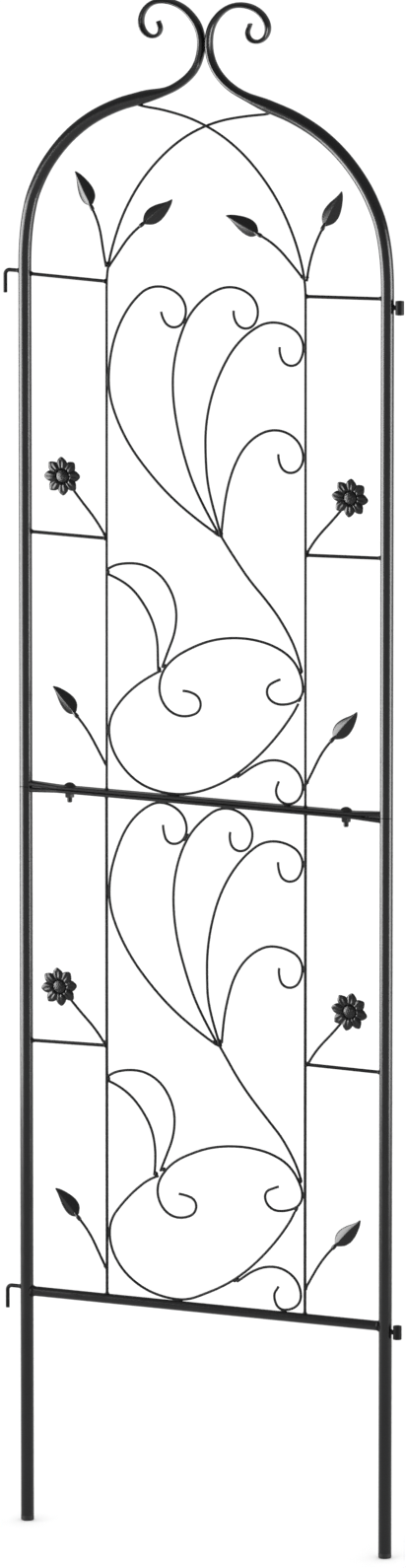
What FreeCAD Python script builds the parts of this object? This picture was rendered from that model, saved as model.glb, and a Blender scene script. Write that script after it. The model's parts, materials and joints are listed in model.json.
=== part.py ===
"""Free-standing metal trellis panel with an arched top, in two sections bolted together at the middle rails.

Frame: +X to the right, +Z up, the front faces -Y. The origin is midway between the two feet, at ground level.
Each wire is a chain of tangent arcs through stations (x, z, heading), the heading in degrees from +X to +Z.
"""
import FreeCAD, Part
import math
import os

V = FreeCAD.Vector
os.makedirs("parts", exist_ok=True)

# ---- driving dimensions, mm ----
POST_X = 225.0              # post axis from the middle of the panel
POST_R = 7.6
POST_WALL = 1.0
PLUG_HEIGHT = 6.0           # part of a foot plug that shows
PLUG_INSERT = 16.0          # part of a foot plug inside the tube
PLUG_EDGE_R = 1.6
SPLIT_Z = 870.0             # the two sections meet here
SPIGOT_LENGTH = 60.0        # reduced top end of a lower post, inside the upper post
SPIGOT_CLEARANCE = 0.05
SPIGOT_WALL = 0.9
SPIGOT_CHAMFER = 0.4
TUBE_END_CHAMFER = 0.4      # on the two tube ends that meet at the split plane

RAIL_DEPTH = 12.0           # flat bar of the middle rails, front to back
RAIL_THICK = 4.0
RAIL_EDGE_R = 1.2
RAIL_PARTING = 0.1          # from the split plane to a middle rail's mating face
RAIL_FLAT_X = 184.0         # the bars are flat out to here
RAIL_END_DEPTH = 9.5
RAIL_END_THICK = 6.2
RAIL_END_GAP = 0.8          # from the split plane to a rail's end section
RAIL_END_EDGE_R = 2.6
BOTTOM_RAIL_R = 5.75
BOTTOM_RAIL_Z = 273.45

WIRE_R = 1.5                # scrollwork and stems
STRUT_R = 2.0
UPRIGHT_R = {"lower": 1.75, "upper": 1.5}
UPRIGHT_X = {"lower": {"left": -123.75, "right": 124.7}, "upper": {"left": -123.5, "right": 124.5}}
BAY_Z = {"lower": BOTTOM_RAIL_Z + BOTTOM_RAIL_R, "upper": SPLIT_Z + RAIL_PARTING + RAIL_THICK}
ARC_LEAN = 0.12             # degrees; one upright leans to the front and the other to the back,
                            # so that their arcs cross without touching

BOLT_X = {"left": -170.0, "right": 175.0}
BOLT_R = 3.0
BOLT_HOLE_R = 3.3
BOLT_HEAD_R = 7.2
BOLT_HEAD_HEIGHT = 4.4
BOLT_RECESS_R = 2.3
BOLT_RECESS_DEPTH = 2.0
NUT_ACROSS_FLATS = 10.0
NUT_HEIGHT = 4.6
NUT_BORE_R = 3.05
THREAD_PAST_NUT = 6.0
THREAD_CHAMFER = 0.7
NUT_FACE_R = 5.2            # flat face left by the 30 degree chamfer of a nut's corners
NUT_CHAMFER_RUN = math.sqrt(3)

HOOK_R = 2.25
HOOK_X = 249.5              # vertical leg of a hook, from the middle of the panel
HOOK_BEND_R = 5.5
HOOK_DROP = 26.5
EYE_X = 240.0
EYE_R = 5.0
EYE_BORE_R = 3.2
EYE_HEIGHT = 15.5
EYE_STUB_R = 2.6
EYE_Z = {"lower": 267.6, "upper": 1461.3}

LEAF_THICK = 1.0
LEAF_WIDTH = 20.5
LEAF_FOLD = 24.0            # degrees that each half leans back from the mid-rib
LEAF_ROOT_WIDTH = 1.8
LEAF_TIP_WIDTH = 0.6
LEAF_OUTLINE = [(0.2, 0.66), (0.42, 1.0), (0.66, 0.78), (0.82, 0.36)]   # shares of its length and half width
FERRULE_R = 2.4
FERRULE_LENGTH = 9.5
FERRULE_LAP = 2.5           # of the ferrule over the sheet
DAISY_R = 22.0
DAISY_VALLEY_R = 15.5
DAISY_BULGE_R = 18.4
DAISY_BULGE_ANGLE = 15.0
DAISY_PETALS = 8
DAISY_THICK = 1.2
DAISY_DOME_R = 7.5
DAISY_DOME_HEIGHT = 4.0
STEM_UNDER_DAISY = 12.0     # a stem runs this far in under the petals

# ---- scrollwork, above the rail that each bay stands on ----
SCROLLWORK = {
    "upper": {
        "curl_1": [(-55, 562, -82), (-40, 545, 0), (-24.3, 565, 90), (-56, 591, 180), (-98, 560, 238),
                   (-120.4, 478, 270), (-102, 417, 299), (-60, 364, 315), (15, 308.6, 330)],
        "curl_2": [(35, 569.5, -95), (49, 550, 0), (65, 570, 90), (33, 596.5, 180), (4, 585.5, 217),
                   (-25.5, 549.5, 246), (-40.6, 480, 270), (-31.5, 415, 284), (-7.5, 350, 298),
                   (15.5, 311, 302)],
        "curl_3": [(92, 531.5, -95), (105.5, 511, 0), (121.2, 533, 90), (87, 559.5, 180), (48.5, 540.5, 223),
                   (14, 486, 248), (0, 415, 270), (6, 353, 284), (18.4, 311, 287)],
        "curl_4": [(90.5, 407.5, -92), (104.5, 387, 0), (121.2, 406, 90), (89, 435, 180), (57.5, 421.5, 222),
                   (32.5, 380.5, 251), (22.6, 335, 263), (20, 311, 265)],
        "plume_stem": [(18.8, 308, -57), (45.6, 270.5, -53), (84, 227, -50), (103.5, 199, -59),
                       (119.6, 158.5, -76)],
        "loop_outer": [(-123.5, 256.5, 40), (-88, 267, 0), (-36.3, 210, -90), (-54, 148.4, -110)],
        "loop_inner": [(-123.5, 252.5, -16), (-84.5, 230, -49), (-62.7, 191, -75), (-59, 144.5, -88)],
        "c_scroll": [(-28, 123, 4), (-6, 109, -90), (-28.7, 93.5, -180), (-57.4, 124, -270),
                     (-47.6, 151.5, -310), (-8.7, 178.2, -335), (47, 190.2, -360), (96, 179, -388),
                     (115, 160.5, -422), (121.2, 137, -450), (93, 117, -540), (76.6, 130.5, -630),
                     (93, 146, -699)],
        "oval_arc": [(-55.6, 144.4, -152), (-95.3, 116.5, -136), (-120.4, 70, -90), (-94, 19, -40),
                     (-40, 1.7, 0), (13, 15.5, 26), (67, 55.5, 45), (108, 106.2, 57), (115.5, 119.5, 62)],
        "small_curl": [(39.7, 27.8, 34), (53.1, 37.5, 37), (88.5, 51.4, 0), (121.2, 23, -90),
                       (102, 1.7, -180), (88, 15.6, -270), (91.3, 27, -290)],
    },
    "lower": {
        "curl_1": [(-53, 559, -88), (-40.5, 538, 0), (-23.5, 557, 90), (-55, 585, 180), (-78, 575, 218),
                   (-104.5, 540.5, 246), (-120.4, 475, 270), (-101, 413.7, 300), (-59, 360.5, 315),
                   (13, 307, 330)],
        "curl_2": [(31, 557.6, -103), (42.5, 536.5, 0), (58.6, 557, 90), (28, 585, 180), (-9.8, 562.5, 227),
                   (-32.6, 522, 252), (-40, 474, 270), (-30.5, 408, 286), (-6, 343.5, 298), (14, 309.4, 302)],
        "curl_3": [(90.6, 527.5, -92), (104, 506, 0), (121, 528, 90), (88, 551.5, 180), (42.3, 523, 231),
                   (11.7, 463, 254), (2, 397, 270), (5.6, 348, 283), (17.2, 309.5, 289)],
        "curl_4": [(92, 403.5, -97), (104, 381.7, 0), (121, 405, 90), (86, 428.3, 180), (56.6, 415.5, 221),
                   (32, 376, 253), (22.4, 330, 264), (20.6, 309.5, 267)],
        "plume_stem": [(17.8, 305.4, -57), (47, 261, -53), (81, 221, -48), (97, 202, -55), (120, 155.5, -75)],
        "loop_outer": [(-123.5, 256.5, 40), (-88, 267.5, 0), (-38.7, 212.5, -90), (-56.6, 151.4, -112)],
        "loop_inner": [(-123.5, 252.5, -16), (-85, 228, -50), (-65.4, 191.5, -77), (-64.2, 145.8, -97)],
        "c_scroll": [(-33, 126.5, -2), (-11.5, 114, -90), (-33.5, 98.5, -180), (-60, 128, -270),
                     (-46.4, 156.6, -314), (-8.5, 179.3, -338), (45.4, 189.2, -360), (95, 178.5, -388),
                     (114, 160, -420), (121.2, 139, -450), (91, 118, -540), (74.8, 133.5, -630),
                     (91.4, 146.6, -698)],
        "oval_arc": [(-59.2, 145.2, -160), (-94, 120, -134), (-120.4, 73, -90), (-94.7, 22, -39),
                     (-35, 1.7, 0), (11, 17, 26), (65, 56, 45), (105, 105.6, 58), (111.8, 118.5, 64)],
        "small_curl": [(39.8, 29.8, 34), (50.3, 37.5, 38), (86, 51.3, 0), (119.6, 20.3, -90), (98, 1.9, -180),
                       (86.4, 17.6, -270), (91.5, 28.6, -297)],
    },
}

# a wire whose end is cut back to wires placed before it
ENDS_AGAINST = {
    "curl_2": ["curl_1"],
    "curl_3": ["curl_1", "curl_2"],
    "curl_4": ["curl_2", "curl_3"],
    "plume_stem": ["curl_1", "curl_2", "curl_3", "curl_4"],
    "oval_arc": ["loop_inner"],
}

# ---- uprights, above their rail; an upper upright goes on as an arc to the other side's arch post ----
ARCS = {
    "right": [(UPRIGHT_X["upper"]["right"], 590, 90), (110.5, 658, 111), (78, 717.5, 127), (31, 764, 145),
              (-8, 784.5, 159), (-52, 795.5, 171), (-76, 798.2, 172), (-88, 801.5, 155)],
    "left": [(UPRIGHT_X["upper"]["left"], 585, 90), (-108.3, 657, 70), (-88.5, 698, 59), (-62.5, 733, 48),
             (-29.6, 763, 36), (9.6, 784, 21), (52.6, 795, 10), (72, 798.1, 9), (84, 802.5, 28)],
}
LOWER_UPRIGHT_TOP = SPLIT_Z - RAIL_PARTING - RAIL_THICK - BAY_Z["lower"]

# ---- arch posts: x is from the middle of the panel, heading 90 is up ----
ARCH_START_Z = 1480.0
ARCH = [(POST_X, SPLIT_Z, 90), (POST_X, ARCH_START_Z, 90), (217.6, 1550, 103.5), (203.8, 1585, 117),
        (181.7, 1618, 129.5), (148.9, 1649, 143.5), (109.8, 1671, 156.5), (79, 1681.7, 162)]
SCROLL = {
    "left": [(79, 1681.7, 162), (47, 1692, 158), (27.5, 1703.8, 143), (12.3, 1720.5, 122), (5.0, 1752, 90),
             (17, 1779.6, 49), (33.3, 1791.5, 23), (50.5, 1795, 0), (69, 1789.6, -37), (79.6, 1769.5, -90),
             (65.5, 1753.2, -180), (55.7, 1762, -270), (58.3, 1771.5, -286)],
    "right": [(79, 1681.7, 162), (47.7, 1692.6, 158), (28.1, 1703.3, 143), (12.5, 1720, 123), (4.3, 1751, 90),
              (15.3, 1781.5, 48), (33.7, 1794.5, 17), (44.5, 1796.2, 0), (66.2, 1790, -36),
              (77.3, 1770.5, -90), (61.5, 1755.3, -180), (52.2, 1764.2, -270), (55.2, 1775, -287)],
}
# share of a scroll's length, thickness in the panel's plane, thickness front to back
SCROLL_SECTIONS = [(0.0, 2 * POST_R, 2 * POST_R), (0.14, 9.4, 15.2), (0.42, 8.8, 15.2), (0.62, 6.5, 15.0),
                   (0.82, 6.0, 14.5), (0.92, 4.5, 12.5), (1.0, 4.6, 11.5)]
TAPER_ARCS = 2              # a scroll's first arcs, where it thins out quickly, have more sections each
TAPER_STEPS = 3

# ---- struts: height above the bay's rail at the post and at the upright ----
STRUTS = {
    "upper": {"left": [(594.6, 592.3), (294.3, 293.5)], "right": [(596.6, 592.4), (297.0, 293.1)]},
    "lower": {"left": [(291.3, 293.6)], "right": [(292.5, 293.5)]},
}

# ---- leaves: tip, base, then the stem's root with its heading; x, z above the bay's rail ----
LEAVES = {
    "upper": {
        "top_left_outer": [(-161.8, 715.3), (-139.6, 673.1), (-123.5, 609.0, -78)],
        "top_left_inner": [(-43.0, 691.5), (-81.8, 658.6), (-121.0, 608.5, -125)],
        "top_right_inner": [(26.5, 677.9), (70.1, 657.7), (121.5, 612.0, -49)],
        "top_right_outer": [(167.2, 714.8), (143.5, 669.6), (125.5, 610.0, -96)],
        "middle_left": [(-190.1, 114.0), (-159.2, 81.1), (-124.0, 28.0, -60)],
        "middle_right": [(186.8, 114.4), (155.0, 77.9), (125.0, 26.0, -118)],
    },
    "lower": {
        "left": [(-188.1, 117.4), (-157.2, 83.8), (-123.5, 27.5, -62)],
        "right": [(191.9, 114.9), (158.3, 79.2), (123.5, 26.0, -118)],
    },
}

# ---- daisies: centre, turn of the petals in degrees, then the stem's root with its heading ----
DAISIES = {
    "upper": {
        "left": [(-177.1, 362.6), 3, (-123.5, 293.5, -61)],
        "right": [(180.8, 364.3), -4, (124.5, 292.5, -118)],
    },
    "lower": {
        "left": [(-181.9, 358.5), 8, (-123.5, 290.5, -60)],
        "right": [(181.0, 360.8), -10, (126.0, 290.0, -116)],
    },
}
SIDES = {"left": -1, "right": 1}


def heading_vector(heading):
    """Unit vector in the XZ plane."""
    a = math.radians(heading)
    return V(math.cos(a), 0, math.sin(a))


def tangent_arc(start, direction, end):
    """Edge from start to end that leaves start along direction, and its direction at the end."""
    chord = end - start
    side = V(-direction.z, 0, direction.x)
    offset = side.dot(chord)
    out = chord * (2 * direction.dot(chord) / chord.dot(chord)) - direction
    if abs(offset) < 1e-4 * chord.Length:
        return Part.LineSegment(start, end).toShape(), out
    radius = chord.dot(chord) / (2 * offset)
    centre = start + side * radius
    turn = 2 * math.atan2(offset, direction.dot(chord))
    half = FreeCAD.Rotation(V(0, -1, 0), math.degrees(turn / 2))
    middle = centre + half.multVec(start - centre)
    return Part.Arc(start, middle, end).toShape(), out


def arc_path(stations, base_z=0.0):
    """Edges of a tangent-continuous path: two arcs from each station to the next."""
    edges = []
    for (x0, z0, h0), (x1, z1, h1) in zip(stations[:-1], stations[1:]):
        p0 = V(x0, 0, z0 + base_z)
        p1 = V(x1, 0, z1 + base_z)
        t0 = heading_vector(h0)
        t1 = heading_vector(h1)
        chord = p1 - p0
        a = 2 * (1 - t0.dot(t1))
        b = chord.dot(t0 + t1)
        c = chord.dot(chord)
        reach = c / (2 * b) if abs(a) < 1e-9 else (math.sqrt(b * b + a * c) - b) / a
        meet = (p0 + t0 * reach + p1 - t1 * reach) * 0.5
        first, direction = tangent_arc(p0, t0, meet)
        second, _ = tangent_arc(meet, direction, p1)
        edges += [first, second]
    return edges


def circle_wire(centre, normal, radius):
    return Part.Wire(Part.makeCircle(radius, centre, normal))


def sweep(edges, radius):
    """Round bar along a path."""
    start = edges[0].valueAt(edges[0].FirstParameter)
    direction = edges[0].tangentAt(edges[0].FirstParameter)
    profile = circle_wire(start, direction, radius)
    return Part.Wire(edges).makePipeShell([profile], True, False)


def wire_solid(stations, base_z):
    return sweep(arc_path(stations, base_z), WIRE_R)


def longest(shape):
    """The main solid left after a bar is cut."""
    return max(shape.Solids, key=lambda solid: solid.Volume)


def vertical(x, z0, z1, radius):
    return Part.makeCylinder(radius, z1 - z0, V(x, 0, z0))


def across(x0, x1, z0, z1, radius):
    """Round bar in the panel's plane from (x0, z0) to (x1, z1)."""
    start = V(x0, 0, z0)
    run = V(x1, 0, z1) - start
    return Part.makeCylinder(radius, run.Length, start, run)


def circles_at(shape, z):
    """Level round edges at height z."""
    level = [e for e in shape.Edges if abs(e.BoundBox.ZMin - z) < 0.01 and abs(e.BoundBox.ZMax - z) < 0.01]
    return [e for e in level if e.Curve.TypeId == "Part::GeomCircle"]


def save(name, *solids):
    shape = solids[0] if len(solids) == 1 else Part.makeCompound(list(solids))
    if len(shape.Solids) == 1:
        shape = shape.Solids[0]
    shape.exportStep("parts/" + name + ".step")


# ---- posts ----
def lower_post(side):
    """Tube with a reduced top end that the upper post slides over."""
    x = SIDES[side] * POST_X
    tube = vertical(x, PLUG_HEIGHT, SPLIT_Z, POST_R)
    tube = tube.makeChamfer(TUBE_END_CHAMFER, circles_at(tube, SPLIT_Z))
    bore = vertical(x, PLUG_HEIGHT, SPLIT_Z - 2 * POST_R, POST_R - POST_WALL)
    spigot_r = POST_R - POST_WALL - SPIGOT_CLEARANCE
    spigot = vertical(x, SPLIT_Z, SPLIT_Z + SPIGOT_LENGTH, spigot_r)
    spigot_bore = vertical(x, SPLIT_Z - 2 * POST_R, SPLIT_Z + SPIGOT_LENGTH, spigot_r - SPIGOT_WALL)
    spigot = spigot.makeChamfer(SPIGOT_CHAMFER, circles_at(spigot, SPLIT_Z + SPIGOT_LENGTH))
    return tube.cut(bore).fuse(spigot).cut(spigot_bore).removeSplitter()


def foot_plug(side):
    x = SIDES[side] * POST_X
    head = vertical(x, 0, PLUG_HEIGHT, POST_R)
    head = head.makeFillet(PLUG_EDGE_R, circles_at(head, 0))
    insert = vertical(x, PLUG_HEIGHT, PLUG_HEIGHT + PLUG_INSERT, POST_R - POST_WALL)
    return head.fuse(insert).removeSplitter()


def scroll_section(edge, parameter, share):
    """Elliptical wire across a scroll, in two halves, at a share of the scroll's length."""
    point = edge.valueAt(parameter)
    direction = edge.tangentAt(parameter)
    thickness, depth = section_size(share)
    side = V(-direction.z, 0, direction.x)
    ellipse = Part.Ellipse(point + V(0, depth / 2, 0), point + side * (thickness / 2), point)
    return Part.Wire([ellipse.toShape(0, math.pi), ellipse.toShape(math.pi, 2 * math.pi)])


def section_size(share):
    """Thickness and depth of a scroll at a share of its length, easing from one given section to the next."""
    for (s0, a0, b0), (s1, a1, b1) in zip(SCROLL_SECTIONS[:-1], SCROLL_SECTIONS[1:]):
        if share <= s1 + 1e-9:
            k = (share - s0) / (s1 - s0)
            k = k * k * (3 - 2 * k)
            return a0 + (a1 - a0) * k, b0 + (b1 - b0) * k
    return SCROLL_SECTIONS[-1][1:]


def mirror_x(stations, sign):
    """Stations given for the right side, mirrored for the left when sign is -1."""
    if sign > 0:
        return stations
    return [(-x, z, 180 - h) for x, z, h in stations]


def arch_post(side):
    """Upper post: a tube that bends into the arch, then flattens and tapers into a scroll."""
    sign = SIDES[side]
    tube_edges = arc_path(mirror_x(ARCH, sign))
    tube = sweep(tube_edges, POST_R)
    tube = tube.makeChamfer(TUBE_END_CHAMFER, circles_at(tube, SPLIT_Z))
    bore = sweep(tube_edges[:-2], POST_R - POST_WALL)
    scroll_edges = arc_path(mirror_x(SCROLL[side], sign))
    total = sum(edge.Length for edge in scroll_edges)
    sections = []
    done = 0.0
    for i, edge in enumerate(scroll_edges):
        steps = TAPER_STEPS if i < TAPER_ARCS else 1
        for k in range(steps):
            parameter = edge.FirstParameter + (edge.LastParameter - edge.FirstParameter) * k / steps
            sections.append(scroll_section(edge, parameter, (done + edge.Length * k / steps) / total))
        done += edge.Length
    sections.append(scroll_section(edge, edge.LastParameter, 1.0))
    scroll = Part.makeLoft(sections, True)
    return tube.fuse(scroll).cut(bore)


# ---- rails ----
def bar_section(x, z0, depth, thickness, edge_r):
    """Rounded rectangle across a rail, at x."""
    y = depth / 2
    z1 = z0 + thickness
    k = edge_r * (1 - math.sqrt(0.5))
    corners = [(y, z0, -1, 1), (y, z1, -1, -1), (-y, z1, 1, -1), (-y, z0, 1, 1)]
    edges = []
    points = []
    for i, (cy, cz, sy, sz) in enumerate(corners):
        beside = V(x, cy + sy * edge_r, cz)
        above = V(x, cy, cz + sz * edge_r)
        middle = V(x, cy + sy * k, cz + sz * k)
        first, last = (beside, above) if i % 2 == 0 else (above, beside)
        points.append((first, last))
        edges.append(Part.Arc(first, middle, last).toShape())
    for i in range(4):
        edges.append(Part.LineSegment(points[i][1], points[(i + 1) % 4][0]).toShape())
    return Part.Wire(Part.__sortEdges__(edges))


def middle_rail(way, posts):
    """Flat bar with fuller ends; way is 1 for the bar above the split plane and -1 for the one below."""
    flat_low = SPLIT_Z + RAIL_PARTING if way > 0 else SPLIT_Z - RAIL_PARTING - RAIL_THICK
    end_low = SPLIT_Z + RAIL_END_GAP if way > 0 else SPLIT_Z - RAIL_END_GAP - RAIL_END_THICK
    flat = Part.Face(bar_section(-RAIL_FLAT_X, flat_low, RAIL_DEPTH, RAIL_THICK, RAIL_EDGE_R))
    bar = flat.extrude(V(2 * RAIL_FLAT_X, 0, 0))
    for sign in (-1, 1):
        inner = bar_section(sign * RAIL_FLAT_X, flat_low, RAIL_DEPTH, RAIL_THICK, RAIL_EDGE_R)
        outer = bar_section(sign * POST_X, end_low, RAIL_END_DEPTH, RAIL_END_THICK, RAIL_END_EDGE_R)
        bar = bar.fuse(Part.makeLoft([inner, outer], True, True))
    for post in posts:
        bar = bar.cut(post)
    for x in BOLT_X.values():
        bar = bar.cut(vertical(x, flat_low - 1, flat_low + RAIL_THICK + 1, BOLT_HOLE_R))
    return bar


def bottom_rail(posts):
    bar = across(-POST_X, POST_X, BOTTOM_RAIL_Z, BOTTOM_RAIL_Z, BOTTOM_RAIL_R)
    for post in posts:
        bar = bar.cut(post)
    return bar


# ---- bays ----
def upright(bay, side):
    base = BAY_Z[bay]
    x = UPRIGHT_X[bay][side]
    if bay == "lower":
        return vertical(x, base, base + LOWER_UPRIGHT_TOP, UPRIGHT_R[bay])
    foot = V(x, 0, base)
    knee = V(x, 0, base + ARCS[side][0][1])
    edges = [Part.LineSegment(foot, knee).toShape()] + arc_path(ARCS[side], base)
    bar = sweep(edges, UPRIGHT_R[bay])
    lean = -ARC_LEAN if side == "left" else ARC_LEAN
    bar.rotate(foot, V(1, 0, 0), lean)
    return bar


def struts(bay, posts, uprights):
    """Short bars from each post to its upright."""
    bars = []
    for side, heights in STRUTS[bay].items():
        for at_post, at_upright in heights:
            z_post = BAY_Z[bay] + at_post
            z_upright = BAY_Z[bay] + at_upright
            bar = across(SIDES[side] * POST_X, UPRIGHT_X[bay][side], z_post, z_upright, STRUT_R)
            bars.append(bar.cut(posts[side]).cut(uprights[side]))
    return bars


def leaf(tip, base, base_z):
    """Pressed leaf, folded along its mid-rib, on a short round ferrule."""
    start = V(base[0], 0, base[1] + base_z)
    run = V(tip[0], 0, tip[1] + base_z) - start
    length = run.Length
    x0 = FERRULE_LENGTH - FERRULE_LAP
    half = LEAF_WIDTH / 2
    root = [V(x0, sign * LEAF_ROOT_WIDTH / 2, 0) for sign in (1, -1)]
    point = [V(length, sign * LEAF_TIP_WIDTH / 2, 0) for sign in (1, -1)]
    outline = [Part.LineSegment(*root), Part.LineSegment(*point)]
    for i, sign in enumerate((1, -1)):
        edge = [root[i]] + [V(s * length, sign * w * half, 0) for s, w in LEAF_OUTLINE] + [point[i]]
        outline += [Part.Arc(*edge[:3]), Part.Arc(*edge[2:5]), Part.LineSegment(*edge[4:])]
    edges = Part.__sortEdges__([curve.toShape() for curve in outline])
    pressing = Part.Face(Part.Wire(edges)).extrude(V(0, 0, LEAF_WIDTH))
    drop = half * math.tan(math.radians(LEAF_FOLD))
    pressing.translate(V(0, 0, -LEAF_WIDTH / 2))
    ridge = [V(0, -half, -drop), V(0, 0, 0), V(0, half, -drop), V(0, half, LEAF_THICK - drop),
             V(0, 0, LEAF_THICK), V(0, -half, LEAF_THICK - drop), V(0, -half, -drop)]
    sheet = Part.Face(Part.makePolygon(ridge)).extrude(V(length + 1, 0, 0))
    ferrule = Part.makeCylinder(FERRULE_R, FERRULE_LENGTH, V(0, 0, 0), V(1, 0, 0))
    solid = sheet.common(pressing).fuse(ferrule)
    along = run.normalize()
    side = V(0, -1, 0).cross(along)
    solid.Placement = FreeCAD.Placement(start, FreeCAD.Rotation(along, side, V(0, -1, 0), "XZY"))
    return solid


def daisy(centre, turn, base_z):
    """Pressed flower in front of its stem: eight pointed petals round a dome."""
    def at(radius, angle):
        a = math.radians(angle + turn)
        return V(radius * math.cos(a), 0, radius * math.sin(a))

    edges = []
    pitch = 360 / DAISY_PETALS
    for i in range(DAISY_PETALS):
        mid = i * pitch
        tip = at(DAISY_R, mid)
        for sign in (-1, 1):
            valley = at(DAISY_VALLEY_R, mid + sign * pitch / 2)
            bulge = at(DAISY_BULGE_R, mid + sign * DAISY_BULGE_ANGLE)
            ends = (valley, bulge, tip) if sign < 0 else (tip, bulge, valley)
            edges.append(Part.Arc(*ends).toShape())
    front = -WIRE_R
    plate = Part.Face(Part.Wire(edges)).extrude(V(0, -DAISY_THICK, 0))
    ball_r = (DAISY_DOME_R ** 2 + DAISY_DOME_HEIGHT ** 2) / (2 * DAISY_DOME_HEIGHT)
    ball = Part.makeSphere(ball_r, V(0, ball_r - DAISY_DOME_HEIGHT - DAISY_THICK / 2, 0))
    keep = Part.makeCylinder(DAISY_DOME_R + 1, DAISY_DOME_HEIGHT + 1, V(0, -DAISY_THICK / 2, 0), V(0, -1, 0))
    flower = plate.fuse(ball.common(keep))
    flower.translate(V(centre[0], front, centre[1] + base_z))
    return flower


def stem(end, beyond, root, base_z, obstacles):
    """Stem from a leaf or daisy to its upright, cut back to the bars it meets there."""
    (x0, z0), (x1, z1, heading) = end, root
    away = math.degrees(math.atan2(z0 - beyond[1], x0 - beyond[0]))
    bar = sweep(arc_path([(x0, z0, away), (x1, z1, heading)], base_z), WIRE_R)
    for obstacle in obstacles:
        bar = bar.cut(obstacle)
    return longest(bar)


def stems(bay, uprights, strut_bars):
    """Leaf stems and daisy stems, each ending on its upright."""
    base = BAY_Z[bay]
    leaf_stems = []
    for tip, foot, root in LEAVES[bay].values():
        side = "left" if root[0] < 0 else "right"
        leaf_stems.append(stem(foot, tip, root, base, [uprights[side]] + leaf_stems))
    daisy_stems = []
    for side, (centre, _, root) in DAISIES[bay].items():
        away = V(root[0] - centre[0], 0, root[1] - centre[1]).normalize()
        reach = DAISY_R - STEM_UNDER_DAISY
        end = (centre[0] + away.x * reach, centre[1] + away.z * reach)
        daisy_stems.append(stem(end, centre, root, base, [uprights[side]] + strut_bars))
    return leaf_stems, daisy_stems


def hook(bay, post):
    """Bar from the left post that bends down, for the eye of the next panel."""
    z = EYE_Z[bay] + EYE_HEIGHT / 2 + HOOK_R
    stations = [(-HOOK_X + HOOK_BEND_R, z, 180), (-HOOK_X, z - HOOK_BEND_R, 270)]
    edges = [Part.LineSegment(V(-POST_X, 0, z), V(-HOOK_X + HOOK_BEND_R, 0, z)).toShape()]
    edges += arc_path(stations)
    edges.append(Part.LineSegment(V(-HOOK_X, 0, z - HOOK_BEND_R), V(-HOOK_X, 0, z - HOOK_DROP)).toShape())
    return sweep(edges, HOOK_R).cut(post)


def eye(bay, post):
    """Short tube on a stub, on the right post."""
    z = EYE_Z[bay]
    low = z - EYE_HEIGHT / 2
    high = z + EYE_HEIGHT / 2
    tube = vertical(EYE_X, low, high, EYE_R)
    stub = across(POST_X, EYE_X, z, z, EYE_STUB_R)
    return tube.fuse(stub).cut(vertical(EYE_X, low - 1, high + 1, EYE_BORE_R)).cut(post)


# ---- fasteners ----
def bolt(side):
    """Domed hex-socket bolt, head up."""
    x = BOLT_X[side]
    seat = SPLIT_Z + RAIL_PARTING + RAIL_THICK
    ball_r = (BOLT_HEAD_R ** 2 + BOLT_HEAD_HEIGHT ** 2) / (2 * BOLT_HEAD_HEIGHT)
    ball = Part.makeSphere(ball_r, V(x, 0, seat + BOLT_HEAD_HEIGHT - ball_r))
    head = ball.common(vertical(x, seat, seat + BOLT_HEAD_HEIGHT + 1, BOLT_HEAD_R + 1))
    corners = [V(x + BOLT_RECESS_R * math.cos(math.radians(a)), BOLT_RECESS_R * math.sin(math.radians(a)),
                 seat + BOLT_HEAD_HEIGHT - BOLT_RECESS_DEPTH) for a in range(0, 361, 60)]
    recess = Part.Face(Part.makePolygon(corners)).extrude(V(0, 0, BOLT_RECESS_DEPTH + 1))
    end = SPLIT_Z - RAIL_PARTING - RAIL_THICK - NUT_HEIGHT - THREAD_PAST_NUT
    shank = vertical(x, end, seat + 0.5, BOLT_R)
    shank = shank.makeChamfer(THREAD_CHAMFER, circles_at(shank, end))
    return head.fuse(shank).cut(recess)


def nut(side):
    x = BOLT_X[side]
    top = SPLIT_Z - RAIL_PARTING - RAIL_THICK
    r = NUT_ACROSS_FLATS / math.sqrt(3)
    corners = [V(x + r * math.cos(math.radians(a)), r * math.sin(math.radians(a)), top - NUT_HEIGHT)
               for a in range(0, 361, 60)]
    prism = Part.Face(Part.makePolygon(corners)).extrude(V(0, 0, NUT_HEIGHT))
    widest = NUT_FACE_R + NUT_CHAMFER_RUN * NUT_HEIGHT
    blunt = Part.makeCone(NUT_FACE_R, widest, NUT_HEIGHT, V(x, 0, top - NUT_HEIGHT))
    return prism.common(blunt).cut(vertical(x, top - NUT_HEIGHT - 1, top + 1, NUT_BORE_R))


def solid_post(bay, side):
    """Filled outline of a post, to cut bars back to its surface."""
    z0, z1 = (PLUG_HEIGHT, SPLIT_Z) if bay == "lower" else (SPLIT_Z, ARCH_START_Z)
    return vertical(SIDES[side] * POST_X, z0, z1, POST_R)


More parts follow.
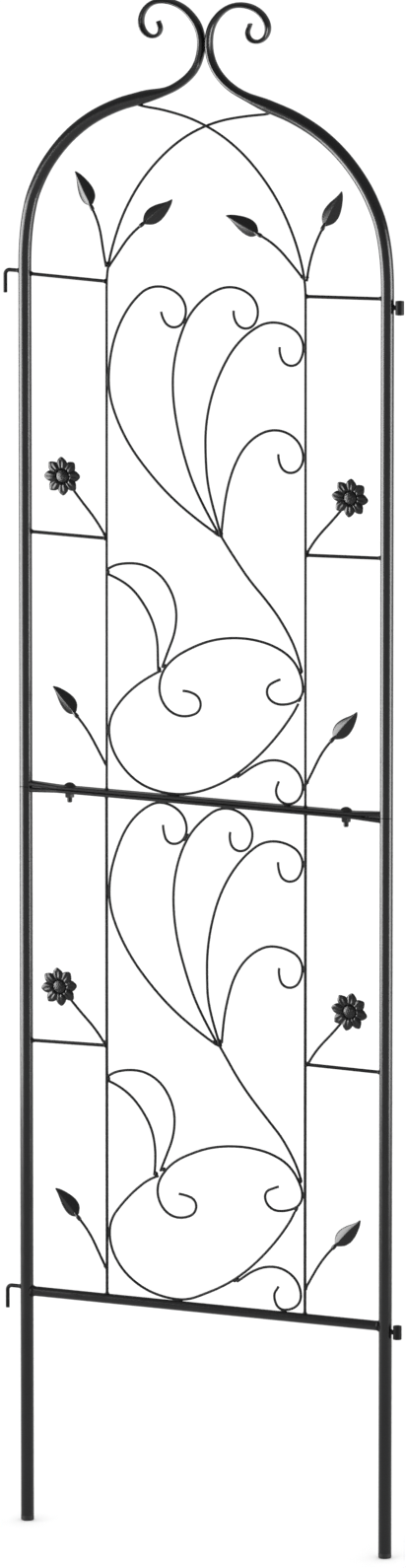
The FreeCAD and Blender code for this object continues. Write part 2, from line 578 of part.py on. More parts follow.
def build_bay(bay, arch_tubes):
    posts = {side: solid_post(bay, side) for side in SIDES}
    uprights = {}
    for side in SIDES:
        bar = upright(bay, side)
        if bay == "upper":
            other = "left" if side == "right" else "right"
            bar = longest(bar.cut(arch_tubes[other]))
        uprights[side] = bar
        save(bay + "_upright_" + side, bar)
    strut_bars = struts(bay, posts, uprights)
    save(bay + "_struts", *strut_bars)
    wires = {}
    for name, stations in SCROLLWORK[bay].items():
        bar = wire_solid(stations, BAY_Z[bay])
        if name.startswith("loop"):
            bar = longest(bar.cut(uprights["left"]))
        for other in ENDS_AGAINST.get(name, []):
            bar = longest(bar.cut(wires[other]))
        wires[name] = bar
        save(bay + "_" + name, bar)
    for name, (tip, foot, _) in LEAVES[bay].items():
        save(bay + "_leaf_" + name, leaf(tip, foot, BAY_Z[bay]))
    for side, (centre, turn, _) in DAISIES[bay].items():
        save(bay + "_daisy_" + side, daisy(centre, turn, BAY_Z[bay]))
    leaf_stems, daisy_stems = stems(bay, uprights, strut_bars)
    save(bay + "_leaf_stems", *leaf_stems)
    save(bay + "_daisy_stems", *daisy_stems)
    save(bay + "_hook", hook(bay, posts["left"]))
    save(bay + "_eye", eye(bay, posts["right"]))


def main():
    arch_tubes = {side: sweep(arc_path(mirror_x(ARCH, sign)), POST_R) for side, sign in SIDES.items()}
    for side in SIDES:
        save("lower_post_" + side, lower_post(side))
        save("foot_plug_" + side, foot_plug(side))
        save("arch_post_" + side, arch_post(side))
        save("bolt_" + side, bolt(side))
        save("nut_" + side, nut(side))
    lower_posts = [solid_post("lower", side) for side in SIDES]
    upper_posts = [solid_post("upper", side) for side in SIDES]
    save("bottom_rail", bottom_rail(lower_posts))
    save("lower_middle_rail", middle_rail(-1, lower_posts))
    save("upper_middle_rail", middle_rail(1, upper_posts))
    build_bay("lower", arch_tubes)
    build_bay("upper", arch_tubes)


main()
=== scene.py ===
"""Looks for the bolted garden trellis panel: black powder coat, pressed leaves and daisies, welds, studio."""
import json
import math

import bpy
from mathutils import Matrix, Vector, noise


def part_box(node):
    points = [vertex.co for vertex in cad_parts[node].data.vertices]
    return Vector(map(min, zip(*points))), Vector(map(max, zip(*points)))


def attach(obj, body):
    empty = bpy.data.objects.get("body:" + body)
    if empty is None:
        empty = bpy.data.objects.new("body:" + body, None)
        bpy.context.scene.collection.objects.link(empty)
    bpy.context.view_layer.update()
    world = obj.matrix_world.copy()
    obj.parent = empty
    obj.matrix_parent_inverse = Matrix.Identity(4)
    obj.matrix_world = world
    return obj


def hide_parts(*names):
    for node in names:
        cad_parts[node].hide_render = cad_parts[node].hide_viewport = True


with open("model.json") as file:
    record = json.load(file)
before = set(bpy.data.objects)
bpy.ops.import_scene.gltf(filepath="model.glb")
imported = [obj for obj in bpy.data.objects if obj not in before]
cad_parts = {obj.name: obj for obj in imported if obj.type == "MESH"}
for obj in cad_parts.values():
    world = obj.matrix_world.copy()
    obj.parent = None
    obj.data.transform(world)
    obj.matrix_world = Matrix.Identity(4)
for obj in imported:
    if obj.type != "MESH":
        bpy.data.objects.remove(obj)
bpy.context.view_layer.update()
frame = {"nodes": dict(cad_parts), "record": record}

NODES = frame["nodes"]
MM = 0.001

# ---- where the two sections' parts lie, mm ----
BAY_Z = {"lower": 279.2, "upper": 874.1}
POST_AXIS_X = 225.0
POST_FACE_X = 217.4          # the post's inner side
UPRIGHT_X = {"lower": {"left": -123.75, "right": 124.7}, "upper": {"left": -123.5, "right": 124.5}}
UPRIGHT_R = {"lower": 1.75, "upper": 1.5}
STRUT_R = 2.0
STRUT_ENDS = {  # heights above the bay's rail at the post and at the upright
    "upper": {"left": [(594.6, 592.3), (294.3, 293.5)], "right": [(596.6, 592.4), (297.0, 293.1)]},
    "lower": {"left": [(291.3, 293.6)], "right": [(292.5, 293.5)]},
}
LEAVES = {  # tip and base, x and height above the bay's rail
    "upper_leaf_top_left_outer": ((-161.8, 715.3), (-139.6, 673.1)),
    "upper_leaf_top_left_inner": ((-43.0, 691.5), (-81.8, 658.6)),
    "upper_leaf_top_right_inner": ((26.5, 677.9), (70.1, 657.7)),
    "upper_leaf_top_right_outer": ((167.2, 714.8), (143.5, 669.6)),
    "upper_leaf_middle_left": ((-190.1, 114.0), (-159.2, 81.1)),
    "upper_leaf_middle_right": ((186.8, 114.4), (155.0, 77.9)),
    "lower_leaf_left": ((-188.1, 117.4), (-157.2, 83.8)),
    "lower_leaf_right": ((191.9, 114.9), (158.3, 79.2)),
}
DAISIES = {  # centre, x and height above the bay's rail, and turn in degrees
    "upper_daisy_left": ((-177.1, 362.6), 3),
    "upper_daisy_right": ((180.8, 364.3), -4),
    "lower_daisy_left": ((-181.9, 358.5), 8),
    "lower_daisy_right": ((181.0, 360.8), -10),
}


# ---- materials ----
DRIFT_SCALE = 9.0           # of the colour's slow drift
GLOSS_SCALE = 55.0
GLOSS_SPREAD = 0.06
PEEL_STRENGTH = 0.35
COATINGS = {  # name, dark and light colour, roughness, orange peel's pitch and height in mm, specular level
    "frame_paint": ("powder_coat_tube", (0.004, 0.004, 0.0045), (0.008, 0.008, 0.0085),
                    0.24, 1.1, 0.03, 0.28),
    "wire_paint": ("powder_coat_wire", (0.005, 0.005, 0.0055), (0.009, 0.009, 0.0095),
                   0.50, 0.9, 0.04, 0.10),
    "ornament_paint": ("powder_coat_pressing", (0.004, 0.004, 0.0045), (0.009, 0.009, 0.0095),
                       0.26, 0.9, 0.02, 0.27),
    "fastener_paint": ("blackened_steel", (0.008, 0.008, 0.008), (0.014, 0.0135, 0.013),
                       0.34, 0.5, 0.02, 0.16),
    "plug_plastic": ("moulded_plug", (0.010, 0.010, 0.010), (0.016, 0.016, 0.016),
                     0.55, 0.6, 0.04, 0.30),
}


def node(tree, kind, **values):
    made = tree.nodes.new(kind)
    for name, value in values.items():
        if name in made.inputs:
            made.inputs[name].default_value = value
        else:
            setattr(made, name, value)
    return made


def ramp(tree, source, stops):
    """Colour ramp on a 0 to 1 value."""
    made = tree.nodes.new("ShaderNodeValToRGB")
    elements = made.color_ramp.elements
    for i, (position, colour) in enumerate(stops):
        if i >= len(elements):
            elements.new(position)
        elements[i].position = position
        elements[i].color = (*colour, 1)
    tree.links.new(source, made.inputs["Fac"])
    return made.outputs["Color"]


def spread(tree, source, low, high):
    """Maps a 0 to 1 value to low to high."""
    made = node(tree, "ShaderNodeMapRange")
    made.inputs["To Min"].default_value = low
    made.inputs["To Max"].default_value = high
    tree.links.new(source, made.inputs["Value"])
    return made.outputs["Result"]


def coating(name, dark, light, rough, peel_mm, peel_height, specular):
    """Sprayed or moulded dark skin: slow colour drift, uneven gloss and fine orange peel."""
    material = bpy.data.materials.new(name)
    material.use_nodes = True
    tree = material.node_tree
    shader = tree.nodes["Principled BSDF"]
    place = node(tree, "ShaderNodeTexCoord").outputs["Object"]

    def noise_at(scale, detail):
        made = node(tree, "ShaderNodeTexNoise", Scale=scale, Detail=detail)
        tree.links.new(place, made.inputs["Vector"])
        return made.outputs["Fac"]

    drift = noise_at(DRIFT_SCALE, 3.0)
    tree.links.new(ramp(tree, drift, [(0.3, dark), (0.7, light)]), shader.inputs["Base Color"])
    gloss = noise_at(GLOSS_SCALE, 4.0)
    roughness = spread(tree, gloss, rough - GLOSS_SPREAD, rough + GLOSS_SPREAD)
    tree.links.new(roughness, shader.inputs["Roughness"])
    peel = noise_at(1000.0 / peel_mm, 2.0)
    bump = node(tree, "ShaderNodeBump", Strength=PEEL_STRENGTH, Distance=peel_height * MM)
    tree.links.new(peel, bump.inputs["Height"])
    tree.links.new(bump.outputs["Normal"], shader.inputs["Normal"])
    shader.inputs["Specular IOR Level"].default_value = specular
    return material


def paint(objects, material):
    for thing in objects:
        thing.data.materials.clear()
        thing.data.materials.append(material)


# ---- mesh helpers ----
def new_object(name, vertices, faces, material, body, slot):
    mesh = bpy.data.meshes.new(name)
    mesh.from_pydata([tuple(v) for v in vertices], [], faces)
    mesh.validate()
    made = bpy.data.objects.new(name, mesh)
    bpy.context.scene.collection.objects.link(made)
    for face in mesh.polygons:
        face.use_smooth = True
    mesh.materials.append(material)
    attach(made, body)
    return made


def grid_faces(rows, columns, first=0, closed=False):
    """Quads of a grid of vertices; closed joins the last column to the first."""
    faces = []
    for i in range(rows - 1):
        for j in range(columns if closed else columns - 1):
            a = first + i * columns + j
            b = first + i * columns + (j + 1) % columns
            faces.append((a, b, b + columns, a + columns))
    return faces


def round_bar_faces(rows, around, first):
    """Faces of a closed bar made of rings of vertices, with both ends capped."""
    faces = grid_faces(rows, around, first, closed=True)
    faces.append(tuple(first + k for k in reversed(range(around))))
    faces.append(tuple(first + (rows - 1) * around + k for k in range(around)))
    return faces


def section_body(name):
    return "upper_section" if name.startswith("upper") else "lower_section"


def on_panel(name, point):
    """Place in the panel's middle plane of a point given above the rail of the piece's bay, in metres."""
    return Vector((point[0], 0, point[1] + BAY_Z[name.split("_")[0]])) * MM


def smooth_curve(points, x):
    """Height at x of a smooth curve through points, which are in order of x."""
    i = 0
    while i < len(points) - 2 and x > points[i + 1][0]:
        i += 1

    def slope(k):
        low, high = points[max(0, k - 1)], points[min(len(points) - 1, k + 1)]
        return (high[1] - low[1]) / (high[0] - low[0])

    (x0, y0), (x1, y1) = points[i], points[i + 1]
    q = (x - x0) / (x1 - x0)
    rest = 1 - q
    ends = y0 * (1 + 2 * q) * rest * rest + y1 * q * q * (3 - 2 * q)
    return ends + (x1 - x0) * q * rest * (slope(i) * rest - slope(i + 1) * q)


# ---- leaves, mm ----
LEAF_ROWS = 34
LEAF_COLUMNS = 25
LEAF_HALF_WIDTH = 9.6
LEAF_THICK = 1.0
LEAF_START = 7.0            # where the sheet starts on the ferrule
LEAF_TIP_LAP = 1.5          # the rounded tip runs on past the tip point
LEAF_FOLD = 0.5             # drop of each half for its width
LEAF_CUP = 0.7
LEAF_SWELL = 0.55
LEAF_VEIN = 0.045
LEAF_VEINS = 3.2            # on each half
LEAF_RIM_FROM = 0.88        # share of the half width where the edge turns down
LEAF_RIM_DROP = 0.3
FERRULE_COLUMNS = 20
FERRULE_SLIM_FROM = 7       # the ferrule is flattened from here on
FERRULE_SLIM = 0.85
# distance from the leaf's base, radius
FERRULE = [(0.0, 1.7), (0.6, 2.3), (3.2, 2.6), (5.4, 2.4), (7.2, 2.0), (8.6, 1.6), (10.4, 1.2), (11.6, 0.5)]
# share of the length, share of the half width: the outer side is full to the tip, and the inner side draws in
LEAF_OUTER = [(0, 0.26), (0.06, 0.52), (0.14, 0.80), (0.26, 0.97), (0.40, 1.0), (0.60, 0.84), (0.82, 0.51),
              (0.93, 0.27), (1, 0.06)]
LEAF_INNER = [(0, 0.26), (0.05, 0.56), (0.12, 0.82), (0.22, 0.98), (0.35, 1.0), (0.55, 0.78), (0.73, 0.43),
              (0.87, 0.19), (1, 0.06)]


def leaf_height(s, t, width):
    """Height of the sheet above its base plane: folded along a straight rib, with faint lengthwise veins."""
    across = abs(t)
    fold = -LEAF_FOLD * width * (math.sqrt(t * t + 0.0016) - 0.04)
    cup = LEAF_CUP * (1 - (2 * s - 0.8) ** 2)
    swell = LEAF_SWELL * math.sin(math.pi * across) * math.sin(math.pi * min(1.0, s * 1.15)) ** 0.8
    veins = -LEAF_VEIN * math.cos(2 * math.pi * across * LEAF_VEINS) * across * (1 - across) * 4
    rim = -LEAF_RIM_DROP * max(0.0, across - LEAF_RIM_FROM) / (1 - LEAF_RIM_FROM)
    return fold + cup + swell + veins + rim


def leaf(name, tip, base, material):
    """Pressed leaf with a folded mid-rib, lengthwise veins and a ferrule over the stem's end."""
    start = on_panel(name, base)
    run = on_panel(name, tip) - start
    length = run.length / MM + LEAF_TIP_LAP
    along = run.normalized()
    front = Vector((0, -1, 0))
    side = front.cross(along)
    frame_of_leaf = Matrix((along, side, front)).transposed()
    top = []
    for i in range(LEAF_ROWS):
        s = (i / (LEAF_ROWS - 1)) ** 1.15
        x = LEAF_START + (length - LEAF_START) * s
        for j in range(LEAF_COLUMNS):
            t = 2 * j / (LEAF_COLUMNS - 1) - 1
            width = LEAF_HALF_WIDTH * smooth_curve(LEAF_INNER if t > 0 else LEAF_OUTER, s)
            top.append(Vector((x, t * width, leaf_height(s, t, width))) * MM)
    under = [v - Vector((0, 0, LEAF_THICK * MM)) for v in top]
    count = len(top)
    faces = grid_faces(LEAF_ROWS, LEAF_COLUMNS)
    faces += [tuple(reversed([i + count for i in face])) for face in grid_faces(LEAF_ROWS, LEAF_COLUMNS)]
    rim = [i * LEAF_COLUMNS for i in range(LEAF_ROWS)]
    rim += [(LEAF_ROWS - 1) * LEAF_COLUMNS + j for j in range(1, LEAF_COLUMNS)]
    rim += [i * LEAF_COLUMNS + LEAF_COLUMNS - 1 for i in range(LEAF_ROWS - 2, -1, -1)]
    rim += [j for j in range(LEAF_COLUMNS - 2, 0, -1)]
    for a, b in zip(rim, rim[1:] + rim[:1]):
        faces.append((b, a, a + count, b + count))
    vertices = top + under
    first = len(vertices)
    for x, r in FERRULE:
        flat = FERRULE_SLIM if x > FERRULE_SLIM_FROM else 1
        for k in range(FERRULE_COLUMNS):
            a = 2 * math.pi * k / FERRULE_COLUMNS
            vertices.append(Vector((x, r * math.cos(a), r * math.sin(a) * flat)) * MM)
    faces += round_bar_faces(len(FERRULE), FERRULE_COLUMNS, first)
    placed = [start + frame_of_leaf @ v for v in vertices]
    made = new_object(name + "_pressing", placed, faces, material, section_body(name), "ornament_paint")
    smooth = made.modifiers.new("smooth", "SUBSURF")
    smooth.levels = smooth.render_levels = 1
    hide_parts(name)


# ---- daisies, mm ----
DAISY_DOME_ROWS = 24
DAISY_PETAL_ROWS = 26
DAISY_COLUMNS = 240
PETALS = 8
DAISY_BACK = 1.5            # the pressing's back lies this far in front of the panel's middle plane
DAISY_THICK = 0.9
DOME_R = 7.4
DOME_HEIGHT = 3.3
DOME_STEP = 0.6             # the dome's rim above the pressing's back plane
PETAL_VALLEY_R = 15.5
PETAL_TIP_R = 22.2
PETAL_CREST = 2.9
PETAL_ROOT = 0.26           # share of the petal's length over which its root rises
PETAL_FALL = 0.50           # share of the crest's height lost towards the tip
GROOVE_DEPTH = 0.85
GROOVE_WIDTH = 0.2
TIP_FROM = 0.88
TIP_DROP = 0.45
PIT_SIZE = 1.0              # of the dome's uneven pits
PIT_DEPTH = 2.8
PIT_FADE = 1.2
PETAL_RIB = 0.13            # height of the two fine ribs on each petal


def petal_reach(share):
    """Outline radius at a share of the way from a petal's middle line to its edge."""
    return PETAL_VALLEY_R + (PETAL_TIP_R - PETAL_VALLEY_R) * (1 - share ** 1.25) ** 0.85


def dome_height(r, angle, seed):
    """Height of the dome, with small uneven pits that fade out at its rim."""
    q = min(1.0, r / DOME_R)
    pit = max(0.0, noise.noise(Vector((r * math.cos(angle), r * math.sin(angle), seed)) / PIT_SIZE)) ** 2
    fade = min(1.0, (DOME_R - r) / PIT_FADE)
    return DOME_STEP + DOME_HEIGHT * (1 - q * q) ** 0.5 - PIT_DEPTH * pit * fade


def petal_height(r, share, outline):
    """Height of a petal above the pressing's back plane: steep root, middle groove, fine ribs, low edges."""
    out = (r - DOME_R) / (outline - DOME_R)
    root = min(1.0, out / PETAL_ROOT)
    rise = root * root * (3 - 2 * root)
    fall = 1 - PETAL_FALL * max(0.0, (out - PETAL_ROOT) / (1 - PETAL_ROOT)) ** 2
    crown = PETAL_CREST * rise * fall * (0.05 + 0.95 * math.sqrt(max(0.0, 1 - share ** 2)))
    groove_length = math.sin(math.pi * min(1.0, 0.1 + 0.95 * out)) ** 0.6
    groove = -GROOVE_DEPTH * math.exp(-(share / GROOVE_WIDTH) ** 2) * groove_length
    rib = PETAL_RIB * rise * math.cos(4 * math.pi * share)
    tip = -TIP_DROP * max(0.0, out - TIP_FROM) / (1 - TIP_FROM)
    return max(0.12, 0.5 + crown + groove + rib + tip)


def daisy(name, centre, turn, material):
    """Flower pressed from sheet: a pitted dome with eight pointed, ribbed petals round it."""
    pitch = 2 * math.pi / PETALS
    middle = on_panel(name, centre)
    top = [middle + Vector((0, -(DAISY_BACK + dome_height(0, 0, turn)) * MM, 0))]
    for i in range(1, DAISY_DOME_ROWS + DAISY_PETAL_ROWS):
        for j in range(DAISY_COLUMNS):
            angle = 2 * math.pi * j / DAISY_COLUMNS
            share = abs((angle / pitch + 0.5) % 1.0 - 0.5) * 2
            if i <= DAISY_DOME_ROWS:
                r = DOME_R * i / DAISY_DOME_ROWS
                h = dome_height(r, angle, turn)
            else:
                outline = petal_reach(share)
                r = DOME_R + (outline - DOME_R) * (i - DAISY_DOME_ROWS) / (DAISY_PETAL_ROWS - 1)
                h = petal_height(r, share, outline)
            a = angle + math.pi / 2 + math.radians(turn)
            top.append(middle + Vector((r * math.cos(a), -(DAISY_BACK + h), r * math.sin(a))) * MM)
    faces = [(0, 1 + (j + 1) % DAISY_COLUMNS, 1 + j) for j in range(DAISY_COLUMNS)]
    faces += grid_faces(DAISY_DOME_ROWS + DAISY_PETAL_ROWS - 1, DAISY_COLUMNS, 1, closed=True)
    made = new_object(name + "_pressing", top, faces, material, section_body(name), "ornament_paint")
    sheet = made.modifiers.new("sheet", "SOLIDIFY")
    sheet.thickness = DAISY_THICK * MM
    sheet.offset = -1.0
    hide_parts(name)


# ---- welds, mm ----
FILLET_COLUMNS = 20
FILLET_ROWS = 6
FILLET_GAP = 0.05           # the collar stands off the bar by this much
FILLET_HOLLOW = 2.2         # power of the collar's concave outline
FILLET_UNEVEN = 0.07
BEAD_COLUMNS = 14
BEAD_ROW = 1.3
BEAD_RIPPLE = 0.10
BEAD_UNEVEN = 0.08


def fillet(parts, foot, axis, bar_r, spread_r, height):
    """Small concave weld collar round a bar whose axis runs into a face at foot. Sizes in mm."""
    axis = axis.normalized()
    side = axis.orthogonal().normalized()
    other = axis.cross(side)
    vertices, faces = parts
    first = len(vertices)
    for i in range(FILLET_ROWS):
        q = i / (FILLET_ROWS - 1)
        r = bar_r + FILLET_GAP + (spread_r - bar_r) * q ** FILLET_HOLLOW
        centre = foot - axis * (height * (1 - q))
        for k in range(FILLET_COLUMNS):
            a = 2 * math.pi * k / FILLET_COLUMNS
            rough = 1 + FILLET_UNEVEN * noise.noise(centre * 0.9 + Vector((k * 0.7, i * 0.5, 0)))
            vertices.append((centre + (side * math.cos(a) + other * math.sin(a)) * r * rough) * MM)
    faces += round_bar_faces(FILLET_ROWS, FILLET_COLUMNS, first)


def bead(parts, middle, heading, length, width, depth):
    """Weld bead that fills the groove between two bars lying side by side: a rippled, round-ended lozenge."""
    a = math.radians(heading)
    along = Vector((math.cos(a), 0, math.sin(a)))
    side = Vector((-math.sin(a), 0, math.cos(a)))
    rows = max(7, int(length / BEAD_ROW))
    vertices, faces = parts
    first = len(vertices)
    for i in range(rows):
        q = 2 * i / (rows - 1) - 1
        swell = math.sqrt(max(0.02, 1 - abs(q) ** 3)) * (1 + BEAD_RIPPLE * math.cos(i * math.pi))
        centre = middle + along * (q * length / 2)
        for k in range(BEAD_COLUMNS):
            b = 2 * math.pi * k / BEAD_COLUMNS
            rough = 1 + BEAD_UNEVEN * noise.noise(centre * 0.8 + Vector((0, k * 0.9, 0)))
            offset = side * (math.cos(b) * width / 2) + Vector((0, math.sin(b) * depth / 2, 0))
            vertices.append((centre + offset * swell * rough) * MM)
    faces += round_bar_faces(rows, BEAD_COLUMNS, first)


# bead middles (x, z above the bay's rail), heading, length, width, depth
BEADS = {
    "upper": [
        (-121.9, 478, 90, 17, 2.6, 2.6), (-25.4, 553, 65, 7, 2.6, 2.6), (122.8, 533, 90, 8, 2.6, 2.6),
        (122.8, 406, 90, 8, 2.6, 2.6), (122.8, 137, 90, 8, 2.6, 2.6), (122.8, 23, 90, 8, 2.6, 2.6),
        (-57.6, 145.4, 80, 7, 4.6, 3.6), (-51.0, 150.2, 55, 6, 3.6, 3.2), (38.8, 29.2, 36, 11, 2.8, 2.6),
        (-122, 70, 90, 12, 2.6, 2.6), (-40, 0.2, 0, 15, 2.4, 2.6), (102, 0.2, 0, 8, 2.4, 2.6),
        (14.0, 309.6, -30, 11, 4.4, 3.8), (18.8, 310.5, -80, 11, 6.0, 4.0), (119.0, 159, -74, 8, 4.2, 3.4),
        (117.4, 125, 64, 8, 3.8, 3.4), (-121.2, 254.5, 90, 6, 3.6, 3.2),
    ],
    "lower": [
        (-122, 475, 90, 16, 2.6, 2.6), (-24.0, 547, 58, 11, 4.2, 3.0), (122.8, 528, 90, 8, 2.6, 2.6),
        (122.8, 405, 90, 8, 2.6, 2.6), (122.9, 139, 90, 8, 2.6, 2.6), (-55, 586.6, 0, 9, 2.4, 2.6),
        (28, 586.6, 0, 9, 2.4, 2.6), (-61.8, 147.0, 84, 7, 4.6, 3.6), (-52.4, 153.8, 50, 6, 3.6, 3.2),
        (38.7, 31.2, 36, 9, 3.2, 2.6), (-122, 73, 90, 12, 2.6, 2.6), (-35, 0.2, 0, 13, 2.4, 2.6),
        (98, 0.2, 0, 8, 2.4, 2.6), (12.4, 308.2, -30, 11, 4.4, 3.8), (17.6, 308.8, -78, 11, 6.0, 4.0),
        (119.0, 157, -74, 8, 4.2, 3.4), (113.8, 122, 64, 8, 3.8, 3.4), (-121.2, 254.5, 90, 6, 3.6, 3.2),
    ],
}
# beads of the arch, above the feet: x, z, heading, length, width, depth
ARCH_BEADS = [
    (-0.3, 1747.5, 90, 15, 2.6, 9.0), (-82.0, 1673.8, 172, 10, 4.0, 4.2), (79.0, 1674.8, 10, 10, 4.0, 4.2),
]
# where stems run into their upright: x, z above the bay's rail, heading into the upright
STEM_ROOTS = {
    "upper": [(-122.3, 612, -76), (-119.8, 611, -125), (119.6, 614.2, -49), (126, 614, -97),
              (-125.6, 31, -61), (126.5, 28.5, -118), (-125.8, 297.5, -61), (126.6, 296, -118)],
    "lower": [(-125.8, 31.5, -62), (125.4, 29, -118), (-126.2, 296.5, -60), (127.4, 293.6, -116)],
}
SPLIT_Z = 870.0
RAIL_END = 3.9              # from the split plane to the middle of a rail's end
LOWER_UPRIGHT_TOP = 865.9
BOTTOM_RAIL_Z = 273.45
BOTTOM_RAIL_R = 5.75
HOOK_R = 2.25
EYE_STUB_R = 2.6
STEM_R = 1.5
RAIL_END_BEAD = (6.6, 2.8, 10.6)    # length, width, depth
# radius at the face, height
POST_STRUT_COLLAR = (3.3, 2.8)
UPRIGHT_STRUT_COLLAR = (2.9, 2.4)
BOTTOM_RAIL_COLLAR = (7.0, 2.6)
STEM_COLLAR = (2.3, 3.0)
HOOK_COLLAR = (3.4, 2.6)
EYE_COLLAR = (3.6, 2.0)
UPRIGHT_COLLAR_SPREAD = 1.3
UPRIGHT_COLLAR_HEIGHT = 3.0
STRUT_SINK = 0.3            # how far a strut's collar reaches into the round side of its upright


def weld_pieces(material):
    """One piece of weld beads and collars on each section."""
    left, right = Vector((-1, 0, 0)), Vector((1, 0, 0))
    up = Vector((0, 0, 1))
    for bay, base in BAY_Z.items():
        parts = ([], [])
        upright_r = UPRIGHT_R[bay]
        upright_collar = (upright_r, upright_r + UPRIGHT_COLLAR_SPREAD, UPRIGHT_COLLAR_HEIGHT)
        for x, z, heading, length, width, depth in BEADS[bay]:
            bead(parts, Vector((x, 0, base + z)), heading, length, width, depth)
        for side, outward in (("left", left), ("right", right)):
            x = UPRIGHT_X[bay][side]
            for at_post, at_upright in STRUT_ENDS[bay][side]:
                foot = outward * POST_FACE_X + up * (base + at_post)
                fillet(parts, foot, outward, STRUT_R, *POST_STRUT_COLLAR)
                foot = Vector((x, 0, base + at_upright)) + outward * (upright_r - STRUT_SINK)
                fillet(parts, foot, -outward, STRUT_R, *UPRIGHT_STRUT_COLLAR)
            fillet(parts, Vector((x, 0, base)), -up, *upright_collar)
            rail_end = SPLIT_Z + (RAIL_END if bay == "upper" else -RAIL_END)
            bead(parts, outward * POST_FACE_X + up * rail_end, 90, *RAIL_END_BEAD)
            if bay == "lower":
                rail_foot = outward * POST_FACE_X + up * BOTTOM_RAIL_Z
                fillet(parts, rail_foot, outward, BOTTOM_RAIL_R, *BOTTOM_RAIL_COLLAR)
                fillet(parts, Vector((x, 0, LOWER_UPRIGHT_TOP)), up, *upright_collar)
        for x, z, heading in STEM_ROOTS[bay]:
            a = math.radians(heading)
            along = Vector((math.cos(a), 0, math.sin(a)))
            fillet(parts, Vector((x, 0, base + z)), along, STEM_R, *STEM_COLLAR)
        post_outer_x = 2 * POST_AXIS_X - POST_FACE_X
        hook_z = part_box(bay + "_hook")[1].z / MM - HOOK_R
        eye_low, eye_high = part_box(bay + "_eye")
        eye_z = (eye_low.z + eye_high.z) / 2 / MM
        fillet(parts, left * post_outer_x + up * hook_z, right, HOOK_R, *HOOK_COLLAR)
        fillet(parts, right * post_outer_x + up * eye_z, left, EYE_STUB_R, *EYE_COLLAR)
        if bay == "upper":
            for x, z, heading, length, width, depth in ARCH_BEADS:
                bead(parts, Vector((x, 0, z)), heading, length, width, depth)
        new_object(bay + "_welds", *parts, material, bay + "_section", "wire_paint")


# ---- studio ----
FLOOR_HALF = 60
FLOOR_DARK = (0.93, 0.93, 0.93)
FLOOR_LIGHT = (0.96, 0.96, 0.96)
SURROUNDINGS_STRENGTH = 0.40
OVERHEAD_STRENGTH = 2.4
OVERHEAD_SPREAD = 70
SOFTBOXES = [  # name, azimuth, distance, height, width and height of the box, power
    ("left_softbox", -64, 1.6, 0.86, (1.35, 1.34), 103),
    ("right_softbox", 95, 1.6, 0.92, (0.7, 1.46), 63),
]


def softbox(name, azimuth, distance, height, size, power):
    """Upright softbox turned to the middle of the panel; only glossy reflections see it."""
    a = math.radians(azimuth)
    place = Vector((math.sin(a) * distance, -math.cos(a) * distance, height))
    data = bpy.data.lights.new(name, "AREA")
    data.shape = "RECTANGLE"
    data.size, data.size_y = size
    data.energy = power
    made = bpy.data.objects.new(name, data)
    bpy.context.scene.collection.objects.link(made)
    made.visible_camera = False
    made.visible_diffuse = False
    made.location = place
    made.rotation_mode = "QUATERNION"
    made.rotation_quaternion = Vector((-place.x, -place.y, 0)).to_track_quat("-Z", "Y")


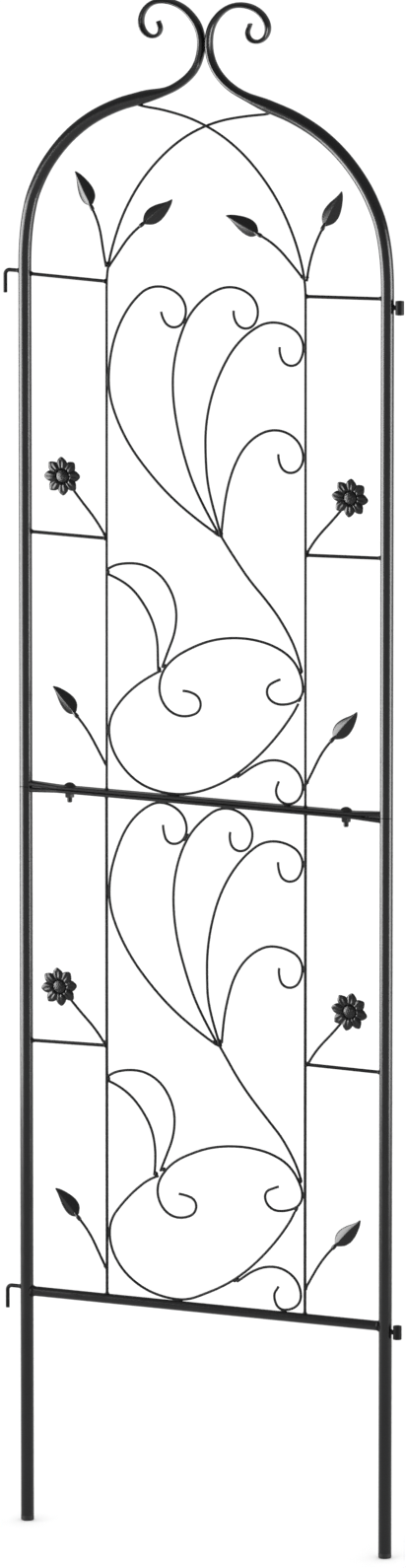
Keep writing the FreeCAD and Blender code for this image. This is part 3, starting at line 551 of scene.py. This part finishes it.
def studio():
    """Pale floor, white backdrop, dimmer white surroundings for the light, overhead light and softboxes."""
    corners = [(x * FLOOR_HALF, y * FLOOR_HALF, 0) for x, y in ((-1, -1), (1, -1), (1, 1), (-1, 1))]
    mesh = bpy.data.meshes.new("floor")
    mesh.from_pydata(corners, [], [(0, 1, 2, 3)])
    floor = bpy.data.objects.new("floor", mesh)
    bpy.context.scene.collection.objects.link(floor)
    material = bpy.data.materials.new("pale_floor")
    material.use_nodes = True
    tree = material.node_tree
    shader = tree.nodes["Principled BSDF"]
    grain = node(tree, "ShaderNodeTexNoise", Scale=3.0, Detail=4.0)
    tree.links.new(node(tree, "ShaderNodeTexCoord").outputs["Object"], grain.inputs["Vector"])
    tree.links.new(ramp(tree, grain.outputs["Fac"], [(0.3, FLOOR_DARK), (0.7, FLOOR_LIGHT)]),
                   shader.inputs["Base Color"])
    shader.inputs["Roughness"].default_value = 0.9
    shader.inputs["Specular IOR Level"].default_value = 0.1
    mesh.materials.append(material)

    world = bpy.data.worlds.new("studio")
    world.use_nodes = True
    tree = world.node_tree
    surroundings = tree.nodes["Background"]
    surroundings.inputs["Color"].default_value = (1, 1, 1, 1)
    surroundings.inputs["Strength"].default_value = SURROUNDINGS_STRENGTH
    backdrop = node(tree, "ShaderNodeBackground", Color=(1, 1, 1, 1), Strength=1.0)
    choice = node(tree, "ShaderNodeMixShader")
    tree.links.new(node(tree, "ShaderNodeLightPath").outputs["Is Camera Ray"], choice.inputs["Fac"])
    tree.links.new(surroundings.outputs["Background"], choice.inputs[1])
    tree.links.new(backdrop.outputs["Background"], choice.inputs[2])
    tree.links.new(choice.outputs["Shader"], tree.nodes["World Output"].inputs["Surface"])
    bpy.context.scene.world = world
    bpy.context.scene.view_settings.view_transform = "Standard"

    overhead = bpy.data.lights.new("overhead", "SUN")
    overhead.energy = OVERHEAD_STRENGTH
    overhead.angle = math.radians(OVERHEAD_SPREAD)
    sky = bpy.data.objects.new("overhead", overhead)
    sky.visible_glossy = False
    bpy.context.scene.collection.objects.link(sky)
    for box in SOFTBOXES:
        softbox(*box)


AZIMUTH = 23.37
ELEVATION = 11.81
DISTANCE = 19.95
TARGET = Vector((-0.0030, 0, 0.8904))
LENS = 400.0                # a much longer lens puts the other views beyond their clip distance


def camera():
    """Long lens at the height and turn that show the panel as a product picture does."""
    a, e = math.radians(AZIMUTH), math.radians(ELEVATION)
    back = Vector((math.sin(a) * math.cos(e), -math.cos(a) * math.cos(e), math.sin(e)))
    data = bpy.data.cameras.new("camera")
    data.lens = LENS
    data.sensor_width = 36
    data.clip_start, data.clip_end = 0.5, 200
    made = bpy.data.objects.new("camera", data)
    bpy.context.scene.collection.objects.link(made)
    made.location = TARGET + back * DISTANCE
    made.rotation_mode = "QUATERNION"
    made.rotation_quaternion = (-back).to_track_quat("-Z", "Y")
    bpy.context.scene.camera = made


def main():
    camera()
    by_slot = {slot: coating(*values) for slot, values in COATINGS.items()}
    for entry in frame["record"]["subparts"]:
        paint([NODES[entry["node"]]], by_slot[entry["material_slot"]])
    for name, (tip, base) in LEAVES.items():
        leaf(name, tip, base, by_slot["ornament_paint"])
    for name, (centre, turn) in DAISIES.items():
        daisy(name, centre, turn, by_slot["ornament_paint"])
    weld_pieces(by_slot["wire_paint"])
    studio()


main()
